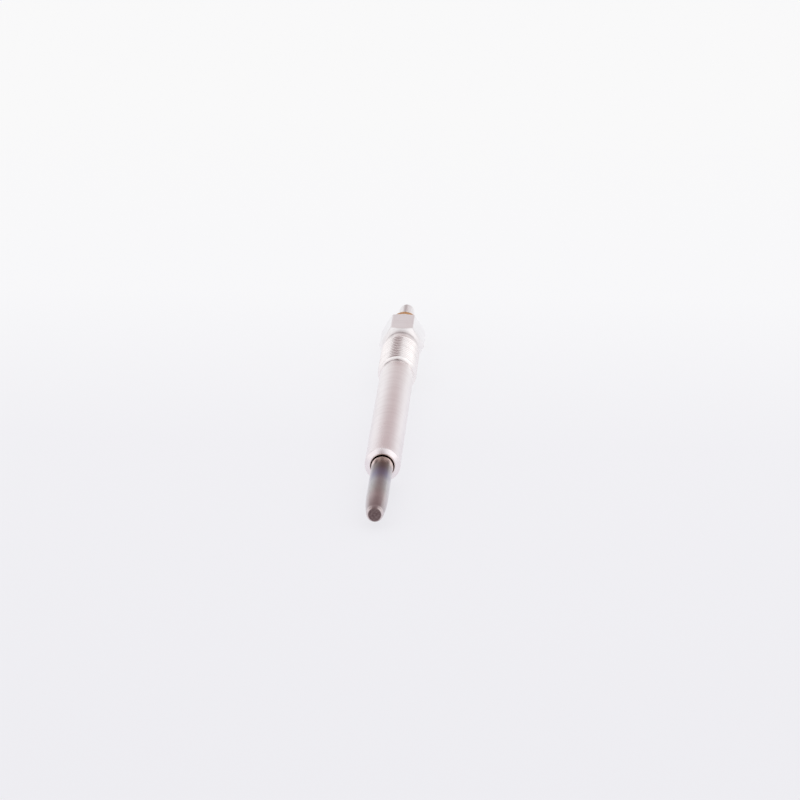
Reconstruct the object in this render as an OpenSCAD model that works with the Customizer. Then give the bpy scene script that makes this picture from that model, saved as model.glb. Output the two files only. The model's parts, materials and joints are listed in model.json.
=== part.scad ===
// Sheathed-element glow plug for a diesel engine, at rest on its side.
// Each piece is drawn upright about the plug's own axis: zero is the mouth of the body,
// the glow tube points to -Z and the terminal to +Z. lay() then puts the plug down.

/* [Glow tube] */
// Outside diameter of the glow tube
tube_d = 5; // [4.4:0.1:5.6]
// Length of tube that stands out of the body
tube_reach = 29; // [20:0.5:40]
// Length of tube pressed into the body, behind the mouth gap
tube_grip = 16; // [10:0.5:24]
// Wall of the tube
tube_wall = 0.7; // [0.5:0.05:0.8]
// Thickness of the tube's closed end
tip_wall = 1.5; // [1:0.1:2.5]
// Diameter of the tube at its closed end
tip_d = 3.8; // [3.2:0.1:4.2]
// Length over which the tube is drawn down to the tip
tip_taper = 9; // [5:0.5:14]
// Radius around the rim of the closed end
tip_round = 0.75; // [0.2:0.05:0.9]

/* [Body] */
// Gap between the tube and the body's mouth
mouth_gap = 0.3; // [0.2:0.05:0.6]
// Depth of the mouth gap
mouth_depth = 9; // [4:0.5:14]
// Width of the flat ring around the mouth
mouth_land = 0.35; // [0.2:0.05:0.5]
// Length of the sealing cone at the front of the shank
seat_l = 0.8; // [0.4:0.1:1.6]
// Diameter of the shank
shank_d = 8.3; // [7.8:0.1:8.8]
// Length from the mouth to the thread
shank_l = 61; // [45:1:80]
// Outside diameter of the thread
thread_d = 9.75; // [9.6:0.05:11]
// Length of the thread with its chamfers
thread_l = 16.5; // [10:0.5:24]
// Pitch of the thread
thread_pitch = 1.25; // [0.75:0.25:1.5]
// Diameter of the neck between thread and hexagon
neck_d = 8.6; // [8.2:0.1:9.2]
// Length of the neck
neck_l = 4; // [2:0.5:10]
// Hexagon, across flats
hex_af = 10; // [9.6:0.1:13]
// Length of the hexagon
hex_l = 12; // [7:0.5:16]
// Diameter of the flat face behind the hexagon
hex_face_d = 9.5; // [9.1:0.1:9.6]
// Diameter of the crimp collar behind the hexagon
collar_d = 8.4; // [8:0.1:9]
// Length of the crimp collar
collar_l = 2.8; // [1.5:0.1:5]
// Radius of the collar's rolled edge
collar_round = 0.5; // [0.2:0.05:0.7]
// Bore around the terminal rod
rod_bore_d = 4.2; // [3.6:0.1:4.4]
// Bore of the rear pocket
pocket_d = 6.4; // [5.8:0.1:7]

/* [Coils] */
// Mean diameter of both coils
coil_d = 2.1; // [1.9:0.05:2.2]
// Wire of the heating coil
heat_wire_d = 0.4; // [0.3:0.02:0.44]
// Turns of the heating coil
heat_turns = 8; // [5:1:10]
// Pitch of the heating coil
heat_pitch = 0.8; // [0.6:0.05:1]
// Wire of the control coil
control_wire_d = 0.34; // [0.26:0.02:0.4]
// Turns of the control coil
control_turns = 14; // [8:1:16]
// Pitch of the control coil
control_pitch = 0.7; // [0.55:0.05:0.9]
// Turns of the control coil that grip the rod's nose
grip_turns = 3; // [2:1:5]
// Straight lead between the closed end and the first turn
lead_l = 0.8; // [0.5:0.1:1.5]

/* [Terminal rod and seals] */
// Diameter of the terminal rod
rod_d = 2.6; // [2.4:0.1:3]
// Diameter of the rod's stub inside the pin
stub_d = 2; // [1.6:0.1:2.2]
// Length of the stub
stub_l = 6.5; // [4:0.5:8]
// Length of the ring that closes the tube
tube_seal_l = 3; // [1.5:0.5:6]

/* [Insulating bush] */
// Diameter of the bush outside the body
bush_d = 7.5; // [6.8:0.1:8]
// Length of the bush outside the body
bush_l = 3; // [1.5:0.1:5]
// Length of the bush's spigot inside the pocket
spigot_l = 3.5; // [2:0.5:6]
// Radius of the bush's outer edges
bush_round = 0.35; // [0.1:0.05:0.6]

/* [Terminal pin] */
// Diameter of the push-on pin
pin_d = 4; // [3.6:0.1:4.6]
// Length of the pin with its foot
pin_l = 11.5; // [9:0.5:16]
// Diameter of the pin's foot
foot_d = 5.4; // [4.8:0.1:6]
// Thickness of the pin's foot
foot_l = 0.8; // [0.5:0.1:1.2]
// Radius of the pin's rounded end
nose_round = 1.2; // [0.5:0.1:1.6]

/* [Fits] */
// Gap on each side of the bush in the pocket and around the rod
bush_fit = 0.05; // [0.02:0.01:0.15]
// Gap around the wires in the powder
wire_fit = 0.03; // [0.01:0.01:0.05]

/* [Hidden] */

$fn = 96;
cut_over = 0.2;
round_steps = 8;
taper_steps = 8;
wire_sides = 8;
turn_steps = 14;

// Stations along the plug's axis, from the tip to the terminal
tip_z = -tube_reach;
taper_z = tip_z + tip_taper;
tube_end_z = mouth_depth + tube_grip;
thread_end_z = shank_l + thread_l;
hex_z = thread_end_z + neck_l;
hex_end_z = hex_z + hex_l;
collar_end_z = hex_end_z + collar_l;
bush_end_z = collar_end_z + bush_l;
pin_end_z = bush_end_z + pin_l;

// Tube and its fillings
tube_r = tube_d / 2;
tip_r = tip_d / 2;
cavity_z = tip_z + tip_wall;
cavity_r = tube_r - tube_wall;
seal_z = tube_end_z - tube_seal_l;

// Coils: both follow one path, so that they meet end to end
coil_r = coil_d / 2;
heat_z = cavity_z + lead_l + heat_pitch;
joint_z = heat_z + heat_turns * heat_pitch;
coil_end_z = joint_z + control_turns * control_pitch;
joint_at = 1 + turn_steps * (1 + heat_turns);
coil_last = joint_at + turn_steps * control_turns;
grip_z = coil_end_z - grip_turns * control_pitch;
shoulder_z = coil_end_z + control_wire_d;
nose_d = 2 * (coil_r * cos(180 / turn_steps) - control_wire_d / 2 - wire_fit);
recess_d = max(rod_d, coil_d + control_wire_d + 4 * wire_fit);
channel_d = max(heat_wire_d, control_wire_d) + 2 * wire_fit;

// Body
shank_r = shank_d / 2;
thread_r = thread_d / 2;
neck_r = neck_d / 2;
mouth_r = tube_r + mouth_gap;
seat_r = mouth_r + mouth_land;
lead_in = thread_r - shank_r;
run_out = thread_r - neck_r;
hex_corner_r = hex_af / 2 / cos(30);
hex_chamfer = (hex_corner_r - hex_face_d / 2) * tan(30);

// Thread of 60 degrees with a flat crest and root, its turns drawn as rings between the two chamfers
thread_front_z = shank_l + lead_in;
thread_rear_z = thread_end_z - run_out;
thread_crest = thread_pitch / 8;
thread_depth = 0.6134 * thread_pitch;
thread_flank = thread_depth * tan(30);
thread_turns = floor((thread_rear_z - thread_front_z - thread_crest) / thread_pitch);
groove_z = (thread_front_z + thread_rear_z - thread_turns * thread_pitch + thread_crest) / 2;

// Rear pocket: the seal's cord just fills the room between rod and pocket
cord_d = (pocket_d - rod_d) / 2;
pocket_z = collar_end_z - spigot_l - cord_d;

// Rest: the shank's front edge and the thread's first turn lie on the table.
// A flat of the hexagon is just above it, and stops the plug from rolling.
// If the hexagon is large, the front of that flat is down instead of the thread.
hex_rest_z = hex_z + hex_af / 2 - neck_r;
thread_slope = (thread_r - shank_r) / (thread_front_z - seat_l);
hex_slope = (hex_af / 2 - shank_r) / (hex_rest_z - seat_l);
rest_tilt = atan(max(thread_slope, hex_slope));
rest_z = shank_r * cos(rest_tilt) - seat_l * sin(rest_tilt);
rest_y = -(tip_z + pin_end_z) / 2 * cos(rest_tilt);

// Radius of the tube's outside at height z, drawn down to the tip along a parabola
function tube_radius(z) =
    z >= taper_z
        ? tube_r
        : tube_r - (tube_r - tip_r) * pow((taper_z - z) / (tip_taper - tip_round), 2);

// Points down the tapered side, from z to the straight tube, inset by the wall
function tapered_side(z, wall) = [
    for (i = [0 : taper_steps])
        let (at = z + (taper_z - z) * i / taper_steps)
        [tube_radius(at) - wall, at]
];

// Quarter arc about the centre c, from the first angle to the second
function arc(c, r, from, to) = [
    for (i = [0 : round_steps])
        let (a = from + (to - from) * i / round_steps)
        c + r * [cos(a), sin(a)]
];

// Grooves between the turns of the thread, from front to rear
function thread_grooves() = [
    for (i = [0 : thread_turns - 1])
        let (front = groove_z + i * thread_pitch)
        let (rear = front + thread_pitch - thread_crest)
        each [
            [thread_r, front],
            [thread_r - thread_depth, front + thread_flank],
            [thread_r - thread_depth, rear - thread_flank],
            [thread_r, rear]
        ]
];

// Smooth rise from 0 to 1
function eased(t) = t * t * (3 - 2 * t);

// Angle, radius and height of the coil path at step i, counted from the closed end
function coil_angle(i) = 360 * max(0, i - 1) / turn_steps;
function coil_radius(i) = coil_r * eased(min(1, max(0, i - 1) / turn_steps));
function coil_height(i) =
    i < 1
        ? cavity_z + lead_l * i
        : i <= joint_at
            ? cavity_z + lead_l + heat_pitch * (i - 1) / turn_steps
            : joint_z + control_pitch * (i - joint_at) / turn_steps;
function coil_point(i) = [
    coil_radius(i) * cos(coil_angle(i)),
    coil_radius(i) * sin(coil_angle(i)),
    coil_height(i)
];

function unit(v) = v / norm(v);
function coil_tangent(i) = unit(coil_point(min(coil_last, i + 1)) - coil_point(max(-1, i - 1)));

// Ring of points around the wire at step i
function wire_ring(i, d) =
    let (t = coil_tangent(i))
    let (out = [cos(coil_angle(i)), sin(coil_angle(i)), 0])
    let (n = unit(out - (out * t) * t))
    let (b = cross(t, n))
    [
        for (k = [0 : wire_sides - 1])
            let (a = 360 * k / wire_sides)
            coil_point(i) + d / 2 * (cos(a) * n + sin(a) * b)
    ];

// Round wire along the coil path, from one step to another
module wire(first, last, d) {
    rings = last - first;
    points = [
        for (i = [first : last])
            each wire_ring(i, d)
    ];
    sides = [
        for (i = [0 : rings - 1])
            for (k = [0 : wire_sides - 1])
                let (m = (k + 1) % wire_sides)
                each [
                    [i * wire_sides + k, (i + 1) * wire_sides + k, i * wire_sides + m],
                    [i * wire_sides + m, (i + 1) * wire_sides + k, (i + 1) * wire_sides + m]
                ]
    ];
    front = [for (k = [0 : wire_sides - 1]) k];
    back = [for (k = [0 : wire_sides - 1]) rings * wire_sides + wire_sides - 1 - k];
    polyhedron(points, concat(sides, [front, back]));
}

// Puts the upright plug down on the table
module lay() {
    translate([0, rest_y, rest_z])
        rotate([rest_tilt - 90, 0, 0])
            children();
}

module turned(profile) {
    rotate_extrude()
        polygon(profile);
}

module bore(d, from, to) {
    translate([0, 0, from])
        cylinder(d = d, h = to - from);
}

module ring(outer_d, inner_d, from, to) {
    turned([
        [inner_d / 2, from],
        [outer_d / 2, from],
        [outer_d / 2, to],
        [inner_d / 2, to]
    ]);
}

// Front of the body: sealing cone, shank, thread and neck
module shank_and_thread() {
    turned(concat(
        [
            [0, 0],
            [seat_r, 0],
            [shank_r, seat_l],
            [shank_r, shank_l],
            [thread_r, thread_front_z]
        ],
        thread_grooves(),
        [
            [thread_r, thread_rear_z],
            [neck_r, thread_end_z],
            [neck_r, hex_z + hex_l / 2],
            [0, hex_z + hex_l / 2]
        ]
    ));
}

// Hexagon with a conical underside and a chamfered rear face
module hexagon() {
    intersection() {
        translate([0, 0, hex_z])
            cylinder(r = hex_corner_r, h = hex_l, $fn = 6);
        turned([
            [0, hex_z],
            [neck_r, hex_z],
            [hex_corner_r + cut_over, hex_z + hex_corner_r + cut_over - neck_r],
            [hex_corner_r + cut_over, hex_end_z - hex_chamfer - cut_over * tan(30)],
            [hex_face_d / 2, hex_end_z],
            [0, hex_end_z]
        ]);
    }
}

module collar() {
    turned(concat(
        [[0, hex_end_z - hex_l / 4], [collar_d / 2, hex_end_z - hex_l / 4]],
        arc([collar_d / 2 - collar_round, collar_end_z - collar_round], collar_round, 0, 90),
        [[0, collar_end_z]]
    ));
}

module plug_body() {
    color("silver")
        difference() {
            union() {
                shank_and_thread();
                hexagon();
                collar();
            }
            bore(2 * mouth_r, -cut_over, mouth_depth);
            bore(tube_d, 0, tube_end_z);
            bore(rod_bore_d, 0, collar_end_z);
            bore(pocket_d, pocket_z, collar_end_z + cut_over);
        }
}

module glow_tube() {
    color("rosybrown")
        turned(concat(
            [[0, tip_z]],
            arc([tip_r - tip_round, tip_z + tip_round], tip_round, -90, 0),
            tapered_side(tip_z + tip_round, 0),
            [[tube_r, tube_end_z], [cavity_r, tube_end_z]],
            [for (i = [taper_steps : -1 : 0]) tapered_side(cavity_z, tube_wall)[i]],
            [[0, cavity_z]]
        ));
}

module heating_coil() {
    color("dimgray")
        wire(0, joint_at, heat_wire_d);
}

module control_coil() {
    color("gray")
        wire(joint_at, coil_last, control_wire_d);
}

module insulating_powder() {
    color("ivory")
        difference() {
            turned(concat(
                [[0, cavity_z]],
                tapered_side(cavity_z, tube_wall),
                [[cavity_r, seal_z], [0, seal_z]]
            ));
            wire(-1, coil_last, channel_d);
            bore(recess_d, grip_z, shoulder_z);
            bore(rod_d, grip_z, seal_z + cut_over);
        }
}

module tube_seal() {
    color("darkslategray")
        ring(2 * cavity_r, rod_d, seal_z, tube_end_z);
}

module terminal_rod() {
    color("lightsteelblue")
        turned([
            [0, grip_z],
            [nose_d / 2, grip_z],
            [nose_d / 2, shoulder_z],
            [rod_d / 2, shoulder_z],
            [rod_d / 2, bush_end_z],
            [stub_d / 2, bush_end_z],
            [stub_d / 2, bush_end_z + stub_l],
            [0, bush_end_z + stub_l]
        ]);
}

module body_seal() {
    color("black")
        translate([0, 0, pocket_z + cord_d / 2])
            rotate_extrude()
                translate([(rod_d + cord_d) / 2, 0])
                    circle(d = cord_d);
}

module insulating_bush() {
    color("peru")
        difference() {
            turned(concat(
                [
                    [0, collar_end_z - spigot_l],
                    [pocket_d / 2 - bush_fit, collar_end_z - spigot_l],
                    [pocket_d / 2 - bush_fit, collar_end_z]
                ],
                arc([bush_d / 2 - bush_round, collar_end_z + bush_round], bush_round, -90, 0),
                arc([bush_d / 2 - bush_round, bush_end_z - bush_round], bush_round, 0, 90),
                [[0, bush_end_z]]
            ));
            bore(rod_d + 2 * bush_fit, pocket_z, bush_end_z + cut_over);
        }
}

module terminal_pin() {
    color("gainsboro")
        difference() {
            turned(concat(
                [
                    [0, bush_end_z],
                    [foot_d / 2, bush_end_z],
                    [foot_d / 2, bush_end_z + foot_l],
                    [pin_d / 2, bush_end_z + foot_l]
                ],
                arc([pin_d / 2 - nose_round, pin_end_z - nose_round], nose_round, 0, 90),
                [[0, pin_end_z]]
            ));
            bore(stub_d, bush_end_z - cut_over, bush_end_z + stub_l);
        }
}

lay() plug_body();
lay() glow_tube();
lay() heating_coil();
lay() control_coil();
lay() insulating_powder();
lay() tube_seal();
lay() terminal_rod();
lay() body_seal();
lay() insulating_bush();
lay() terminal_pin();
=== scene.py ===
"""Diesel glow plug at rest on a pale table: the frame with a cut thread, edge rounds and heat tint."""
import json
import math

import bpy
import numpy as np
from mathutils import Matrix, Vector


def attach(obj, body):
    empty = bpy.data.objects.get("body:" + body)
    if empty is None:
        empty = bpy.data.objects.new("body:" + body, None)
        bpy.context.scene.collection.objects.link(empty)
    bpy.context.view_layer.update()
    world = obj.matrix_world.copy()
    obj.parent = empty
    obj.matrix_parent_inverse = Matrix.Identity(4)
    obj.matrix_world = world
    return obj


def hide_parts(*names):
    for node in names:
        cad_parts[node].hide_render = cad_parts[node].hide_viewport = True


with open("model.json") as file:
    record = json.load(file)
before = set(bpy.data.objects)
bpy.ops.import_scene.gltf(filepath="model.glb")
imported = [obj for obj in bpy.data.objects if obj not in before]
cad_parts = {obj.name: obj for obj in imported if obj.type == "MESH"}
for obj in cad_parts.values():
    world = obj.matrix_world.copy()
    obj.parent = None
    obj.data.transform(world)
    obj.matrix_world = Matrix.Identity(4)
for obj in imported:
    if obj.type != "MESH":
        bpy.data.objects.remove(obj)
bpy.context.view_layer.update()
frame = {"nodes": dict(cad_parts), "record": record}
mounts = {m["name"]: m for m in frame["record"]["mounts"]}

MM = 0.001

# Sizes in millimetres, along the plug's own axis from the mouth of the body
TUBE_R, TUBE_REACH, TUBE_END, TUBE_WALL, TIP_WALL = 2.5, 29.0, 25.0, 0.7, 1.5
TIP_R, TIP_TAPER, TIP_ROUND, TIP_DOME = 1.9, 9.0, 0.75, 0.12
BEAD, BEAD_AT, BEAD_HALF = 0.09, -0.6, 2.2
MOUTH_R, MOUTH_DEPTH, MOUTH_LAND = 2.8, 9.0, 0.35
SHANK_R, SHANK_L, SEAT_L = 4.15, 61.0, 0.8
THREAD_R, THREAD_L, THREAD_PITCH = mounts["head_thread"]["dims"]["r_mm"], 16.5, 1.25
NECK_R, NECK_L = 4.3, 4.0
HEX_R, HEX_L, HEX_FACE_R, HEX_WORN = 5.0, 12.0, 4.75, 0.07
COLLAR_R, COLLAR_L, COLLAR_ROUND = 4.2, 2.8, 0.5
ROD_BORE_R, POCKET_R, POCKET_DEPTH = 2.1, 3.2, 5.4
BUSH_R, BUSH_L, BUSH_ROUND, SPIGOT_R, SPIGOT_L, BUSH_BORE_R = 3.75, 3.0, 0.35, 3.15, 3.5, 1.35
PIN_R, PIN_L, FOOT_R, FOOT_L, NOSE_ROUND = mounts["terminal"]["dims"]["r_mm"], 11.5, 2.7, 0.8, 1.2
STUB_R, STUB_L = 1.0, 6.5
EDGE = 0.12

# The thread: angle of its flanks; half the flat of its crest and its depth in pitches; its rows from
# root to crest in pitches, with both edges bevelled; how near a row comes to the rings at its ends;
# and how steeply its root sinks behind the shank and rises to the neck
FLANK_DEG, CREST_HALF, CUT_DEPTH = 60, 1 / 16, 0.6134
THREAD_ROWS = [0.0, 0.0714, 0.0954, 0.18, 0.265, 0.35, 0.4255, 0.4495, 0.5]
LEAST_STEP = 0.012
ROOT_SINK, ROOT_RISE = 0.05, 0.35

# Stations along the axis
THREAD_END = SHANK_L + THREAD_L
HEX_Z = THREAD_END + NECK_L
HEX_END = HEX_Z + HEX_L
COLLAR_END = HEX_END + COLLAR_L
BUSH_END = COLLAR_END + BUSH_L
PIN_END = BUSH_END + PIN_L
LEAD_IN, RUN_OUT = THREAD_R - SHANK_R, THREAD_R - NECK_R
THREAD_MID = (SHANK_L + LEAD_IN + THREAD_END - RUN_OUT) / 2
HEX_CORNER = HEX_R / math.cos(math.radians(30))

# Meshes: segments round the axis, the angle from which an edge stays sharp, the smallest radius that
# isn't a pole, the rings of the hexagon's cone, flats and chamfer, and the longest step between rings
SEGS = 144
ANGLES = np.arange(SEGS) * 2 * np.pi / SEGS
SHARP_DEG, POLE_R = 40, 1e-6
HEX_STEPS = (26, 12, 14)
SHANK_STEP, NECK_STEP, BORE_STEP, TUBE_STEP, END_STEP = 3.0, 1.5, 6.0, 2.0, 1.0

# Plated steel: tone and roughness at shares of the plug's length; the painted shade in the two inner corners
# as station and half width, with the share of that width at full strength, the strength, and how it fades
# from the top to the sides; the painted dark reflection line's place left of the top, its half width, and the
# height of its fade
STEEL_TONES = [
    (0.0, (0.91, 0.850, 0.870)),
    (0.40, (0.95, 0.910, 0.920)),
    (0.55, (0.965, 0.925, 0.925)),
    (0.72, (0.97, 0.925, 0.920)),
    (0.76, (0.98, 0.970, 0.985)),
    (1.0, (0.97, 0.970, 0.990)),
]
STEEL_SATIN = [(0.0, 0.27), (0.50, 0.38), (0.54, 0.24), (0.69, 0.24), (0.72, 0.38), (1.0, 0.38)]
TERMINAL_TONES = [(0.0, (0.93, 0.91, 0.92)), (1.0, (0.94, 0.92, 0.93))]
TERMINAL_SATIN = [(0.0, 0.42), (1.0, 0.42)]
# Darker steel for the blotches and turning rings, and for the painted shade and painted dark reflection line
MOTTLE_AND_SHADE_STEEL = (0.45, 0.38, 0.38)
SHADED_CORNERS = [(SHANK_L - 0.35, 0.8), (HEX_Z - 0.5, 1.2)]
SHADE_CORE, SHADE_DEPTH, SHADE_ACROSS, SHADE_AT_SIDES = 0.3, 0.7, (1.2, 3.4), 0.2
REFLECTION_LEFT, REFLECTION_HALF, REFLECTION_FADE = 0.2, (0.2, 0.7), 0.5

# Heat tint of the tube from its tip to 2 mm inside the mouth
TINT_END = 2
TUBE_TINTS = [
    (0.05, (0.23, 0.155, 0.160)),
    (0.11, (0.29, 0.208, 0.213)),
    (0.21, (0.405, 0.325, 0.330)),
    (0.34, (0.392, 0.362, 0.362)),
    (0.50, (0.375, 0.360, 0.392)),
    (0.60, (0.195, 0.175, 0.275)),
    (0.66, (0.145, 0.115, 0.190)),
    (0.73, (0.11, 0.070, 0.085)),
    (0.80, (0.11, 0.065, 0.055)),
    (0.85, (0.22, 0.135, 0.110)),
    (0.90, (0.46, 0.340, 0.290)),
    (1.0, (0.62, 0.490, 0.420)),
]
# The first tone is a painted highlight on the tip's rim; the second is soot
RIM_HIGHLIGHT_TONE, SOOT = (0.70, 0.60, 0.60), (0.08, 0.06, 0.065)
# Painted highlights along the tube's sides, warmer at the mouth
SIDE_HIGHLIGHT_TONE, MOUTH_HIGHLIGHT_TONE = (0.80, 0.75, 0.77), (0.98, 0.82, 0.74)
SCALE_DARK, SCALE_LIGHT = (0.13, 0.085, 0.088), (0.24, 0.180, 0.180)
# Where these begin and are full: from the tip, then from the top line or the axis, then from the mouth
RIM_HIGHLIGHT_REACH, RIM_SATIN, END_SCALE = (1.5, 0.65), (1.6, 0.9), (0.6, 0.4)
RIM_HIGHLIGHT_ACROSS, SIDE_HIGHLIGHT_ACROSS, END_EDGE = (0.5, 1.4), (1.6, 2.4), (1.55, 1.40)
MOUTH_WARM, MOUTH_WIDER = (-4, -1.5), 0.6
# How strong they are: the painted rim highlight on the top line, the painted side highlights, and these again
# at the mouth
RIM_HIGHLIGHT_ON_TOP, SIDE_HIGHLIGHT_SHARE, MOUTH_HIGHLIGHT_GAIN = 0.12, 0.5, 1.8

# Relief of the finest grain, for bump
GRAIN = 0.00003

# Table and light: half the table's side in metres, its own share of its white, and that white from front
# to back; the room's white, and dim patches on its walls, each with its direction, the reach of its core
# and of its edge, and its tone; the soft boxes' size in metres and their tint
TABLE_HALF = 6.0
TABLE_OWN = 0.8
TABLE_WHITES = [
    (0.0, (0.880, 0.875, 0.915)),
    (0.37, (0.910, 0.905, 0.940)),
    (0.60, (0.985, 0.985, 1.000)),
    (1.0, (1.0, 1.0, 1.0)),
]
ROOM_WHITE = (0.95, 0.95, 0.955)
PATCHES = [
    ((0.05, 0.94, 0.32), 0.06, 0.56, (0.54, 0.440, 0.440)),
    ((-0.10, -0.75, 0.63), 0.17, 0.40, (0.27, 0.190, 0.195)),
    ((0.0, 0.10, 0.99), 0.12, 0.42, (0.32, 0.30, 0.31)),
    ((0.78, 0.22, 0.58), 0.06, 0.44, (0.34, 0.315, 0.325)),
    ((-0.78, 0.22, 0.58), 0.06, 0.44, (0.34, 0.315, 0.325)),
]
BOX_SIZE, BOX_TINT = (0.7, 0.9), (1.0, 0.955, 0.925)

# Camera: its place in metres, its turn and its dip in degrees, and its lens in pixels of the photograph
EYE = (0.03770, -0.66433, 0.24735)
AZIMUTH, ELEVATION = math.radians(3.087), math.radians(19.973)
LENS_PX, PHOTO_PX, SENSOR_MM = 2903.9, 800, 36.0


def lying_frame():
    """Upright plug coordinates to the row frame: axis along +Z, a flat of the hexagon facing -Y."""
    along = Vector(mounts["terminal"]["axis"]).normalized()
    flat = Vector(mounts["spanner_hex"]["axis"]).normalized()
    side = along.cross(flat).normalized()
    place = Matrix((side, -flat, along)).transposed().to_4x4()
    place.translation = Vector(mounts["head_thread"]["pos_m"]) - along * THREAD_MID * MM
    return place


LYING = lying_frame()


# Meshes

def rounded(points, steps=5):
    """A profile of (radius, height, edge radius) with each edge rounded by an arc."""
    out = []
    for i, (r, z, e) in enumerate(points):
        here = np.array([r, z])
        if e == 0 or i in (0, len(points) - 1):
            out.append(here)
            continue
        before, after = np.array(points[i - 1][:2]) - here, np.array(points[i + 1][:2]) - here
        a, b = before / np.linalg.norm(before), after / np.linalg.norm(after)
        half = math.acos(float(np.clip(a @ b, -1, 1))) / 2
        reach = min(e / math.tan(half), 0.45 * np.linalg.norm(before), 0.45 * np.linalg.norm(after))
        centre = here + (a + b) / np.linalg.norm(a + b) * reach / math.cos(half)
        start, end = here + a * reach - centre, here + b * reach - centre
        turn = math.atan2(start[0] * end[1] - start[1] * end[0], start @ end)
        for k in range(steps + 1):
            c, s = math.cos(turn * k / steps), math.sin(turn * k / steps)
            out.append(centre + np.array([c * start[0] - s * start[1], s * start[0] + c * start[1]]))
    return [(float(r), float(z)) for r, z in out]


def spread(profile, longest):
    """The profile with long straight stretches cut into even steps."""
    out = [profile[0]]
    for (r0, z0), (r1, z1) in zip(profile, profile[1:]):
        n = max(1, math.ceil(math.hypot(r1 - r0, z1 - z0) / longest))
        out += [(r0 + (r1 - r0) * k / n, z0 + (z1 - z0) * k / n) for k in range(1, n + 1)]
    return out


def skin(name, rings):
    """A closed turned piece from rings of (radius or radii, height), with a map that unrolls it."""
    verts, rows = [], []
    for radius, z in rings:
        radius = np.broadcast_to(radius, SEGS)
        first = len(verts)
        if radius.max() < POLE_R:
            verts.append((0.0, 0.0, z * MM))
            rows.append([first] * SEGS)
        else:
            verts += zip(radius * np.cos(ANGLES) * MM, radius * np.sin(ANGLES) * MM, [z * MM] * SEGS)
            rows.append(list(range(first, first + SEGS)))
    poles = len(set(rows[0])) == 1
    pairs = list(zip(rows, rows[1:])) + ([] if poles else [(rows[-1], rows[0])])
    mean = [float(np.mean(r)) for r, _ in rings] + [float(np.mean(rings[0][0]))]
    high = [z for _, z in rings] + [rings[0][1]]
    run = np.concatenate([[0], np.cumsum(np.hypot(np.diff(mean), np.diff(high)))])
    run = run / run[-2 if poles else -1]
    faces, uvs = [], []
    for i, (low, up) in enumerate(pairs):
        if (high[i], high[i + 1]) == (SHANK_L, THREAD_END):
            band = thread_band(low, up, verts)
        else:
            band = plain_band(low, up)
        for corners in band:
            kept = [c for j, c in enumerate(corners) if c[0] != corners[j - 1][0]]
            if len(kept) > 2:
                faces.append([c[0] for c in kept])
                uvs += [(c[1] / SEGS, run[i] + (run[i + 1] - run[i]) * c[2]) for c in kept]
    mesh = bpy.data.meshes.new(name)
    mesh.from_pydata(verts, [], faces)
    layer = mesh.uv_layers.new(name="UVMap")
    layer.uv.foreach_set("vector", np.array(uvs, dtype=np.float32).ravel())
    mesh.polygons.foreach_set("use_smooth", [True] * len(mesh.polygons))
    mesh.set_sharp_from_angle(angle=math.radians(SHARP_DEG))
    mesh.validate()
    piece = bpy.data.objects.new(name, mesh)
    bpy.context.scene.collection.objects.link(piece)
    piece.matrix_world = LYING
    return piece


def plain_band(low, up):
    """Quads between two rings of vertices, as (vertex, segment, share of the way up)."""
    quads = []
    for k in range(SEGS):
        after = (k + 1) % SEGS
        quads.append([(low[k], k, 0), (low[after], k + 1, 0), (up[after], k + 1, 1), (up[k], k, 1)])
    return quads


def thread_band(low, up, verts):
    """The same between the rings at the thread's ends, along a right-hand helix, with new vertices."""
    shares = THREAD_ROWS + [1 - t for t in THREAD_ROWS[-2:0:-1]]
    turn_rows = len(shares)
    first_turn = math.floor(SHANK_L / THREAD_PITCH) - 1
    last_turn = math.ceil(THREAD_END / THREAD_PITCH) + 1
    grid = []
    for turn in range(first_turn, last_turn + 1):
        for share in shares:
            from_crest = abs(share - 0.5) * THREAD_PITCH
            depth = (from_crest - THREAD_PITCH * CREST_HALF) * math.tan(math.radians(FLANK_DEG))
            full = THREAD_R - min(max(depth, 0), CUT_DEPTH * THREAD_PITCH)
            row = []
            for k, angle in enumerate(ANGLES):
                z = (turn + share + angle / (2 * math.pi)) * THREAD_PITCH
                if z < SHANK_L + LEAST_STEP:
                    row.append((low[k], 0))
                elif z > THREAD_END - LEAST_STEP:
                    row.append((up[k], 1))
                else:
                    from_front, from_rear = z - SHANK_L, THREAD_END - z
                    front_root = SHANK_R - ROOT_SINK * max(0, from_front - THREAD_PITCH)
                    rear_root = NECK_R - ROOT_RISE * from_rear
                    r = min(max(full, front_root, rear_root), SHANK_R + from_front, NECK_R + from_rear)
                    row.append((len(verts), from_front / THREAD_L))
                    verts.append((r * math.cos(angle) * MM, r * math.sin(angle) * MM, z * MM))
            grid.append(row)
    quads = []
    for i in range(len(grid) - turn_rows - 1):
        for k in range(SEGS):
            # Past the last segment, a row goes on as the one that lies a full turn further
            on, after = (0, k + 1) if k + 1 < SEGS else (turn_rows, 0)
            corners = [
                (grid[i][k], k),
                (grid[i + on][after], k + 1),
                (grid[i + 1 + on][after], k + 1),
                (grid[i + 1][k], k),
            ]
            quads.append([(vertex, at, along) for (vertex, along), at in corners])
    return quads


def hex_radii(z):
    """Radii round the hexagon at height z: cone under it, chamfer behind it, corners cut back a little by
    wear.
    """
    from_flat = np.radians((np.degrees(ANGLES) % 60) - 30)
    ends = min(NECK_R + z - HEX_Z, HEX_FACE_R + (HEX_END - z) * math.tan(math.radians(60)))
    return np.minimum(np.minimum(HEX_R / np.cos(from_flat), HEX_CORNER - HEX_WORN), ends)


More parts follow.
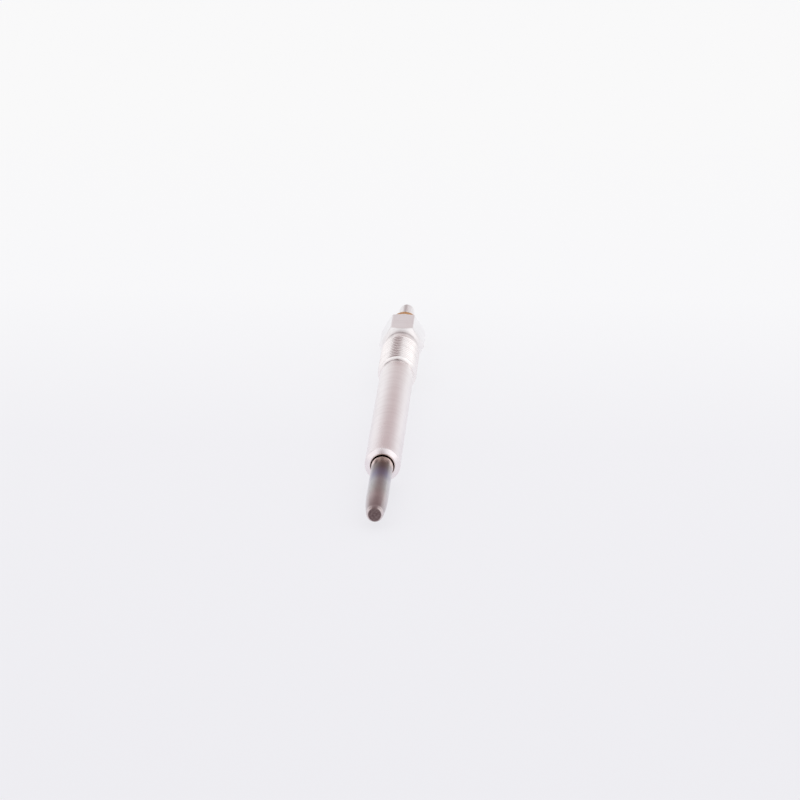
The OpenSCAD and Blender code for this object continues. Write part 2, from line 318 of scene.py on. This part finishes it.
def body_rings():
    """The body from its bore round the mouth, back over shank, thread, neck and hexagon, and in again.

    A ring close to each end of the thread keeps its shading off the shank and the neck.
    """
    front = rounded([
        (MOUTH_R, MOUTH_DEPTH, 0),
        (MOUTH_R, 0, EDGE),
        (MOUTH_R + MOUTH_LAND, 0, EDGE),
        (SHANK_R, SEAT_L, EDGE * 2),
        (SHANK_R, SHANK_L - EDGE / 2, 0),
        (SHANK_R, SHANK_L, 0),
    ])
    neck = [(NECK_R, THREAD_END), (NECK_R, THREAD_END + EDGE / 2), (NECK_R, HEX_Z)]
    under = HEX_CORNER - NECK_R
    chamfer = (HEX_CORNER - HEX_FACE_R) * math.tan(math.radians(30))
    bounds = [HEX_Z, HEX_Z + under, HEX_END - chamfer, HEX_END]
    heights = np.concatenate([
        np.linspace(start, end, steps)[1:] for start, end, steps in zip(bounds, bounds[1:], HEX_STEPS)
    ])
    hexagon = [(hex_radii(z), z) for z in heights]
    rear = rounded([
        (HEX_FACE_R, HEX_END, 0),
        (COLLAR_R, HEX_END, EDGE),
        (COLLAR_R, COLLAR_END, COLLAR_ROUND),
        (POCKET_R, COLLAR_END, EDGE),
        (POCKET_R, COLLAR_END - POCKET_DEPTH, 0),
        (ROD_BORE_R, COLLAR_END - POCKET_DEPTH, 0),
        (ROD_BORE_R, TUBE_END, 0),
        (TUBE_R, TUBE_END, 0),
        (TUBE_R, MOUTH_DEPTH, 0),
    ])
    return spread(front, SHANK_STEP) + spread(neck, NECK_STEP) + hexagon + spread(rear[1:], BORE_STEP)


def tube_radius(z):
    """Outside of the tube, drawn down to the tip along a parabola."""
    taper_z = TIP_TAPER - TUBE_REACH
    if z >= taper_z:
        return TUBE_R
    return TUBE_R - (TUBE_R - TIP_R) * ((taper_z - z) / (TIP_TAPER - TIP_ROUND)) ** 2


def tube_rings():
    """The glow tube from its tip to its rear end, and back inside to the floor of its cavity."""
    tip, taper_z, cavity = -TUBE_REACH, TIP_TAPER - TUBE_REACH, TIP_WALL - TUBE_REACH
    flat = TIP_R - TIP_ROUND
    crown = [(flat * t, tip + TIP_DOME * t * t) for t in np.linspace(0, 1, 9)]
    rim = [
        (flat + TIP_ROUND * math.sin(a), tip + TIP_DOME + (TIP_ROUND - TIP_DOME) * (1 - math.cos(a)))
        for a in np.linspace(0, math.pi / 2, 9)[1:]
    ]
    taper = [(tube_radius(z), z) for z in np.linspace(tip + TIP_ROUND, taper_z, 25)[1:]]
    straight = [(TUBE_R, z) for z in np.arange(taper_z + TUBE_STEP, BEAD_AT - BEAD_HALF, TUBE_STEP)]
    bead = [
        (TUBE_R + BEAD * math.cos(t * math.pi / 2) ** 2, t * BEAD_HALF + BEAD_AT)
        for t in np.linspace(-1, 1, 21)
    ]
    in_body = spread([(TUBE_R, TUBE_STEP), (TUBE_R, TUBE_END)], TUBE_STEP)
    rear = [(TUBE_R - TUBE_WALL, TUBE_END)]
    inside = [(tube_radius(z) - TUBE_WALL, z) for z in np.linspace(taper_z, cavity, 13)]
    return crown + rim + taper + straight + bead + in_body + rear + inside + [(0.0, cavity)]


def bush_rings():
    """The bush with its spigot in the body's pocket."""
    return spread(rounded([
        (BUSH_BORE_R, COLLAR_END - SPIGOT_L, 0),
        (SPIGOT_R, COLLAR_END - SPIGOT_L, 0),
        (SPIGOT_R, COLLAR_END, 0),
        (BUSH_R, COLLAR_END, BUSH_ROUND),
        (BUSH_R, BUSH_END, BUSH_ROUND),
        (BUSH_BORE_R, BUSH_END, 0),
    ], 8), END_STEP)


def pin_rings():
    """The pin from the bottom of its bore for the rod's stub, over its foot, to its nose."""
    return spread(rounded([
        (0.0, BUSH_END + STUB_L, 0),
        (STUB_R, BUSH_END + STUB_L, 0),
        (STUB_R, BUSH_END, 0),
        (FOOT_R, BUSH_END, EDGE),
        (FOOT_R, BUSH_END + FOOT_L, EDGE),
        (PIN_R, BUSH_END + FOOT_L, EDGE),
        (PIN_R, PIN_END, NOSE_ROUND),
        (0.0, PIN_END, 0),
    ], 10), END_STEP)


# Materials

class Paint:
    """A node material built step by step around one Principled shader."""

    def __init__(self, name, **values):
        self.material = bpy.data.materials.new(name)
        self.material.use_nodes = True
        self.tree = self.material.node_tree
        self.shader = self.tree.nodes["Principled BSDF"]
        for socket, value in values.items():
            self.shader.inputs[socket.replace("_", " ")].default_value = value
        self.place = self.node("ShaderNodeTexCoord").outputs["Object"]

    def node(self, kind, **inputs):
        made = self.tree.nodes.new(kind)
        for socket, value in inputs.items():
            self.feed(made.inputs[socket.replace("_", " ")], value)
        return made

    def feed(self, socket, value):
        if isinstance(value, bpy.types.NodeSocket):
            self.tree.links.new(value, socket)
        else:
            socket.default_value = value

    def set(self, socket, value):
        self.feed(self.shader.inputs[socket], value)

    def at(self, axis):
        """One of the object coordinates, in metres. On the plug, Z runs along the axis and -Y is up."""
        return self.node("ShaderNodeSeparateXYZ", Vector=self.place).outputs[axis]

    def from_axis(self):
        """Distance from the piece's own axis, in metres."""
        flat = self.node("ShaderNodeVectorMath")
        flat.operation = "MULTIPLY"
        self.feed(flat.inputs[0], self.place)
        self.feed(flat.inputs[1], (1, 1, 0))
        out = self.node("ShaderNodeVectorMath")
        out.operation = "LENGTH"
        self.feed(out.inputs[0], flat.outputs["Vector"])
        return out.outputs["Value"]

    def stretched(self, x, y, z):
        """Object coordinates scaled to texture cells per metre along each axis."""
        return self.node("ShaderNodeMapping", Vector=self.place, Scale=(x, y, z)).outputs["Vector"]

    def noise(self, vector, detail, roughness=0.55):
        made = self.node("ShaderNodeTexNoise", Vector=vector, Scale=1.0, Detail=detail, Roughness=roughness)
        return made.outputs["Fac"]

    def ramp(self, fac, stops):
        made = self.node("ShaderNodeValToRGB", Fac=fac)
        ramp = made.color_ramp
        ramp.elements[0].position, ramp.elements[0].color = stops[0][0], (*stops[0][1], 1)
        ramp.elements[1].position, ramp.elements[1].color = stops[-1][0], (*stops[-1][1], 1)
        for at, colour in stops[1:-1]:
            ramp.elements.new(at).color = (*colour, 1)
        return made.outputs["Color"]

    def span(self, value, low, high, out_low, out_high):
        """The value carried from one range to another and held at its ends."""
        made = self.node("ShaderNodeMapRange", Value=value)
        numbers = (low, high, out_low, out_high)
        for socket, number in zip(("From Min", "From Max", "To Min", "To Max"), numbers):
            made.inputs[socket].default_value = number
        return made.outputs["Result"]

    def span_mm(self, value, low, high, out_low, out_high):
        """The same for a length in metres, with its range in millimetres."""
        return self.span(value, low * MM, high * MM, out_low, out_high)

    def math(self, operation, a, b):
        made = self.tree.nodes.new("ShaderNodeMath")
        made.operation = operation
        self.feed(made.inputs[0], a)
        self.feed(made.inputs[1], b)
        return made.outputs["Value"]

    def absolute(self, value):
        return self.math("ABSOLUTE", value, 0.0)

    def mix(self, fac, a, b):
        made = self.tree.nodes.new("ShaderNodeMix")
        made.data_type = "RGBA"
        self.feed(made.inputs["Factor"], fac)
        for socket, value in ((made.inputs[6], a), (made.inputs[7], b)):
            self.feed(socket, value if isinstance(value, bpy.types.NodeSocket) else (*value, 1))
        return made.outputs[2]

    def bump(self, height, strength, distance):
        made = self.node("ShaderNodeBump", Height=height, Strength=strength, Distance=distance)
        self.set("Normal", made.outputs["Normal"])


def plated_steel(name, tones, roughness, rings_seen, shaded_corners=(), dark_reflection=0.0, metallic=1.0):
    """Turned and plated steel: a tone that drifts along the axis, blotches and turning rings.

    Where asked for, it has painted shade in inner corners and a painted dark reflection line along its top.
    """
    paint = Paint(name, Metallic=metallic)
    along = paint.span_mm(paint.at("Z"), 0, PIN_END, 0, 1)
    blotch = paint.noise(paint.stretched(230, 230, 70), 5)
    rings = paint.noise(paint.stretched(60, 60, 1100), 6, 0.7)
    blotched = paint.span(blotch, 0.42, 0.75, 0, 0.07)
    mottle_and_shade = paint.math("ADD", blotched, paint.span(rings, 0.48, 0.72, 0, rings_seen))
    # Painted shade: darker bands in the two inner corners, strongest on the top and fading to the sides
    for station, half in shaded_corners:
        off = paint.absolute(paint.math("SUBTRACT", paint.at("Z"), station * MM))
        line = paint.span_mm(off, half, SHADE_CORE * half, 0, SHADE_DEPTH)
        on_top = paint.span_mm(paint.absolute(paint.at("X")), *SHADE_ACROSS, 1, SHADE_AT_SIDES)
        mottle_and_shade = paint.math("MAXIMUM", mottle_and_shade, paint.math("MULTIPLY", line, on_top))
    # Painted reflection: a dark line along the top of the piece, a little left of it, fading towards the axis
    # height
    if dark_reflection:
        off = paint.absolute(paint.math("ADD", paint.at("X"), REFLECTION_LEFT * MM))
        line = paint.span_mm(off, *REFLECTION_HALF, dark_reflection, 0)
        on_top = paint.span_mm(paint.at("Y"), 0, -REFLECTION_FADE, 0, 1)
        mottle_and_shade = paint.math("MAXIMUM", mottle_and_shade, paint.math("MULTIPLY", line, on_top))
    paint.set("Base Color", paint.mix(mottle_and_shade, paint.ramp(along, tones), MOTTLE_AND_SHADE_STEEL))
    satin = paint.ramp(along, [(at, (value,) * 3) for at, value in roughness])
    paint.set("Roughness", paint.math("ADD", satin, paint.span(blotch, 0.3, 0.7, -0.04, 0.04)))
    paint.bump(rings, 0.06, GRAIN)
    return paint.material


def heat_tint():
    """The glow tube: dark scaled end, a painted highlight on its rim, grey alloy, then violet, brown and
    straw; painted highlights on its sides.
    """
    paint = Paint("heat_tinted_tube", Metallic=1.0)
    height = paint.at("Z")
    across = paint.absolute(paint.at("X"))

    def from_tip(start, full, low, high):
        return paint.span_mm(height, start - TUBE_REACH, full - TUBE_REACH, low, high)

    drift = paint.noise(paint.stretched(260, 260, 120), 4)
    along = paint.span_mm(height, -TUBE_REACH, TINT_END, 0, 1)
    drifting = paint.math("ADD", along, paint.span(drift, 0.3, 0.7, -0.015, 0.015))
    # Painted highlight on the tip's rim, strongest at the sides and faint on the top line
    rim_highlight_sides = paint.span_mm(across, *RIM_HIGHLIGHT_ACROSS, RIM_HIGHLIGHT_ON_TOP, 1)
    rim_highlight_mask = paint.math("MULTIPLY", from_tip(*RIM_HIGHLIGHT_REACH, 0, 1), rim_highlight_sides)
    tint = paint.mix(rim_highlight_mask, paint.ramp(drifting, TUBE_TINTS), RIM_HIGHLIGHT_TONE)

    # The painted side highlights keep to the tube's edge where it is drawn down, and are wider and warmer at
    # the mouth
    near_mouth = paint.span_mm(height, *MOUTH_WARM, 0, 1)
    taken_off = from_tip(TIP_TAPER, 0, 0, (TUBE_R - TIP_R) * MM)
    wider = paint.math("ADD", taken_off, paint.math("MULTIPLY", near_mouth, MOUTH_WIDER * MM))
    to_side = paint.span_mm(paint.math("ADD", across, wider), *SIDE_HIGHLIGHT_ACROSS, 0, SIDE_HIGHLIGHT_SHARE)
    side_highlight_amount = paint.math("MULTIPLY", to_side, paint.span(near_mouth, 0, 1, 1, MOUTH_HIGHLIGHT_GAIN))
    side_highlighted = paint.mix(side_highlight_amount, tint, paint.mix(near_mouth, SIDE_HIGHLIGHT_TONE, MOUTH_HIGHLIGHT_TONE))

    fine = paint.noise(paint.stretched(1500, 1500, 500), 4)
    streaked = paint.mix(paint.span(fine, 0.45, 0.8, 0, 0.18), side_highlighted, SOOT)
    cells = paint.noise(paint.stretched(2600, 2600, 2600), 4)
    scale = paint.mix(paint.span(cells, 0.35, 0.7, 0, 1), SCALE_DARK, SCALE_LIGHT)
    inner = paint.span_mm(paint.from_axis(), *END_EDGE, 0, 1)
    end = paint.math("MULTIPLY", inner, from_tip(*END_SCALE, 0, 1))
    paint.set("Base Color", paint.mix(end, streaked, scale))
    satin = paint.math("ADD", paint.span(fine, 0.3, 0.7, 0.06, 0.14), from_tip(*RIM_SATIN, 0, 0.2))
    paint.set("Roughness", paint.math("ADD", satin, paint.math("MULTIPLY", end, 0.2)))
    paint.bump(fine, 0.04, GRAIN)
    return paint.material


def amber_plastic():
    """Amber plastic, slightly cloudy and translucent."""
    paint = Paint("amber_plastic", IOR=1.52)
    cloud = paint.noise(paint.stretched(400, 400, 400), 3)
    colour = paint.mix(paint.span(cloud, 0.3, 0.7, 0, 1), (0.80, 0.42, 0.13), (0.62, 0.27, 0.07))
    paint.set("Base Color", colour)
    paint.set("Roughness", paint.span(cloud, 0.3, 0.7, 0.14, 0.24))
    paint.set("Transmission Weight", 0.25)
    paint.bump(cloud, 0.05, 0.00005)
    return paint.material


def plain(name, light, dark, roughness, metallic, cells):
    """For the pieces inside: two close colours in a fine grain."""
    paint = Paint(name, Metallic=metallic)
    grain = paint.noise(paint.stretched(cells, cells, cells), 3)
    paint.set("Base Color", paint.mix(paint.span(grain, 0.35, 0.65, 0, 1), light, dark))
    paint.set("Roughness", paint.span(grain, 0.3, 0.7, roughness - 0.06, roughness + 0.06))
    paint.bump(grain, 0.1, GRAIN)
    return paint.material


def dress():
    """Four outer pieces in place of their solids, and a finish for the solids inside."""
    steel = plated_steel("plated_steel", STEEL_TONES, STEEL_SATIN, 0.20, shaded_corners=SHADED_CORNERS)
    terminal = plated_steel(
        "terminal_plating", TERMINAL_TONES, TERMINAL_SATIN, 0.04, dark_reflection=0.65, metallic=0.6)
    pieces = [
        ("body", body_rings(), "plug_body", "plated_steel", steel),
        ("heater", tube_rings(), "glow_tube", "heat_tinted_tube", heat_tint()),
        ("bush", bush_rings(), "insulating_bush", "amber_plastic", amber_plastic()),
        ("pin", pin_rings(), "terminal_pin", "terminal_plating", terminal),
    ]
    for name, rings, node, slot, material in pieces:
        piece = skin(name, rings)
        piece.data.materials.append(material)
        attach(piece, "root")
        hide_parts(node)
    wire = plain("resistance_wire", (0.46, 0.45, 0.44), (0.36, 0.35, 0.34), 0.38, 1.0, 3000)
    inner = {
        "heating_coil": wire,
        "control_coil": wire,
        "insulating_powder": plain("oxide_powder", (0.86, 0.84, 0.78), (0.74, 0.71, 0.65), 0.85, 0.0, 5000),
        "tube_seal": plain("seal_rubber", (0.05, 0.05, 0.05), (0.03, 0.03, 0.03), 0.7, 0.0, 2500),
        "terminal_rod": plain("rod_steel", (0.62, 0.61, 0.60), (0.52, 0.51, 0.50), 0.32, 1.0, 1500),
    }
    inner["body_seal"] = inner["tube_seal"]
    for node, material in inner.items():
        mesh = frame["nodes"][node].data
        mesh.materials.clear()
        mesh.materials.append(material)


# Table, light and camera

def table():
    """A wide pale table top, whiter towards the back; most of its white is its own, so shadows stay faint."""
    mesh = bpy.data.meshes.new("table")
    half = TABLE_HALF
    corners = [(-half, -half, 0), (half, -half, 0), (half, half, 0), (-half, half, 0)]
    mesh.from_pydata(corners, [], [(0, 1, 2, 3)])
    top = bpy.data.objects.new("table", mesh)
    bpy.context.scene.collection.objects.link(top)
    paint = Paint("table_top", Roughness=0.9, Specular_IOR_Level=0.0)
    paint.set("Base Color", (0.90, 0.90, 0.915, 1))
    white = paint.ramp(paint.span(paint.at("Y"), -0.2, 0.3, 0, 1), TABLE_WHITES)
    glow = paint.node("ShaderNodeEmission", Color=white, Strength=1.0)
    rays = paint.node("ShaderNodeLightPath").outputs
    seen = rays["Is Camera Ray"]
    for other in ("Is Glossy Ray", "Is Transmission Ray"):
        seen = paint.math("ADD", seen, rays[other])
    both = paint.node("ShaderNodeMixShader", Fac=paint.math("MULTIPLY", seen, TABLE_OWN))
    paint.tree.links.new(paint.shader.outputs[0], both.inputs[1])
    paint.tree.links.new(glow.outputs[0], both.inputs[2])
    paint.tree.links.new(both.outputs[0], paint.tree.nodes["Material Output"].inputs["Surface"])
    mesh.materials.append(paint.material)


def sky():
    """A white room with dim patches on its walls, which the plug mirrors as darker lines."""
    world = bpy.data.worlds.new("studio")
    bpy.context.scene.world = world
    world.use_nodes = True
    tree = world.node_tree
    back = tree.nodes["Background"]
    back.inputs["Strength"].default_value = 1.0
    way = tree.nodes.new("ShaderNodeTexCoord").outputs["Generated"]
    seen = None
    for at, core, edge, tone in PATCHES:
        apart = tree.nodes.new("ShaderNodeVectorMath")
        apart.operation = "DISTANCE"
        apart.inputs[1].default_value = at
        tree.links.new(way, apart.inputs[0])
        share = tree.nodes.new("ShaderNodeMapRange")
        share.interpolation_type = "SMOOTHSTEP"
        for socket, number in zip(("From Min", "From Max", "To Min", "To Max"), (core, edge, 1, 0)):
            share.inputs[socket].default_value = number
        tree.links.new(apart.outputs["Value"], share.inputs["Value"])
        mixed = tree.nodes.new("ShaderNodeMix")
        mixed.data_type = "RGBA"
        tree.links.new(share.outputs["Result"], mixed.inputs["Factor"])
        mixed.inputs[6].default_value = (*ROOM_WHITE, 1)
        mixed.inputs[7].default_value = (*tone, 1)
        if seen:
            tree.links.new(seen, mixed.inputs[6])
        seen = mixed.outputs[2]
    tree.links.new(seen, back.inputs["Color"])


def soft_box(name, at, watts):
    """A large warm lamp that faces the plug."""
    lamp = bpy.data.lights.new(name, "AREA")
    lamp.shape, lamp.size, lamp.size_y, lamp.energy = "RECTANGLE", *BOX_SIZE, watts
    lamp.color = BOX_TINT
    box = bpy.data.objects.new(name, lamp)
    box.location = at
    box.rotation_euler = (-Vector(at)).to_track_quat("-Z", "Y").to_euler()
    bpy.context.scene.collection.objects.link(box)


def camera():
    """Long lens at the photograph's place, low over the tip's end."""
    data = bpy.data.cameras.new("camera")
    data.sensor_fit, data.sensor_width = "HORIZONTAL", SENSOR_MM
    data.lens = LENS_PX * SENSOR_MM / PHOTO_PX
    eye = bpy.data.objects.new("camera", data)
    eye.location = EYE
    forward = Vector((
        -math.sin(AZIMUTH) * math.cos(ELEVATION),
        math.cos(AZIMUTH) * math.cos(ELEVATION),
        -math.sin(ELEVATION),
    ))
    eye.rotation_euler = forward.to_track_quat("-Z", "Y").to_euler()
    bpy.context.scene.collection.objects.link(eye)
    bpy.context.scene.camera = eye


dress()
table()
sky()
soft_box("right_box", (0.85, -0.45, 0.65), 0.6)
soft_box("left_box", (-0.85, -0.45, 0.6), 0.2)
camera()
bpy.context.scene.view_settings.view_transform = "Standard"
